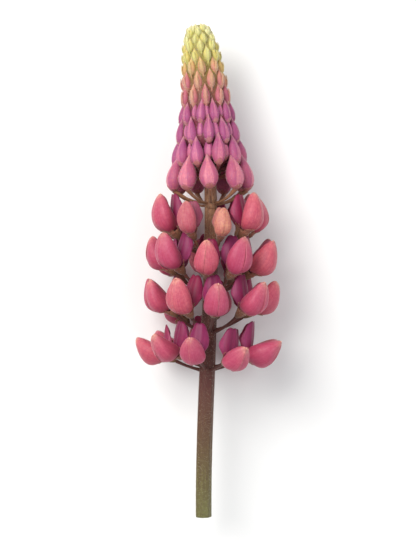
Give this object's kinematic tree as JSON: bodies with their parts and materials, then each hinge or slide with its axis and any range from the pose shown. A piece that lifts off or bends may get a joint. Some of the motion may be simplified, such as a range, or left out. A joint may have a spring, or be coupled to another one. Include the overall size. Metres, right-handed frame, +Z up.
{
  "type": "lupin flower spike",
  "caption": "cut pink lupin flower spike lying on its side: a bare stalk, whorls of open florets, and a tapering cone of closed buds up to a yellow-green tip",
  "frame": {"origin": "on the surface that the spike lies on, under the middle of its bounding box", "axes": "+Y runs along the spike to its growing tip, +Z is up, +X is to the right when it is seen from above with the tip away from the viewer"},
  "size_m": [0.0629, 0.2165, 0.0592],
  "materials": {
    "stalk": "matte",
    "petal": "matte",
    "bud_mauve": "matte",
    "bud_blush": "matte",
    "bud_green": "matte"
  },
  "bodies": {
    "root": {"upper_floret_1": "petal", "upper_floret_2": "petal", "upper_floret_3": "petal", "upper_floret_4": "petal", "upper_floret_5": "petal", "upper_floret_6": "petal", "upper_floret_7": "petal", "upper_floret_8": "petal", "upper_floret_9": "petal", "second_floret_1": "petal", "second_floret_2": "petal", "second_floret_3": "petal", "second_floret_4": "petal", "second_floret_5": "petal", "second_floret_6": "petal", "second_floret_7": "petal", "second_floret_8": "petal", "second_floret_9": "petal", "third_floret_1": "petal", "third_floret_2": "petal", "third_floret_3": "petal", "third_floret_4": "petal", "third_floret_5": "petal", "third_floret_6": "petal", "third_floret_7": "petal", "third_floret_8": "petal", "third_floret_9": "petal", "lowest_floret_1": "petal", "lowest_floret_2": "petal", "lowest_floret_3": "petal", "lowest_floret_4": "petal", "lowest_floret_5": "petal", "lowest_floret_6": "petal", "lowest_floret_7": "petal", "lowest_floret_8": "petal", "lowest_floret_9": "petal", "stalk": "stalk", "buds_mauve": "bud_mauve", "buds_blush": "bud_blush", "buds_green": "bud_green"}
  },
  "joints": []
}
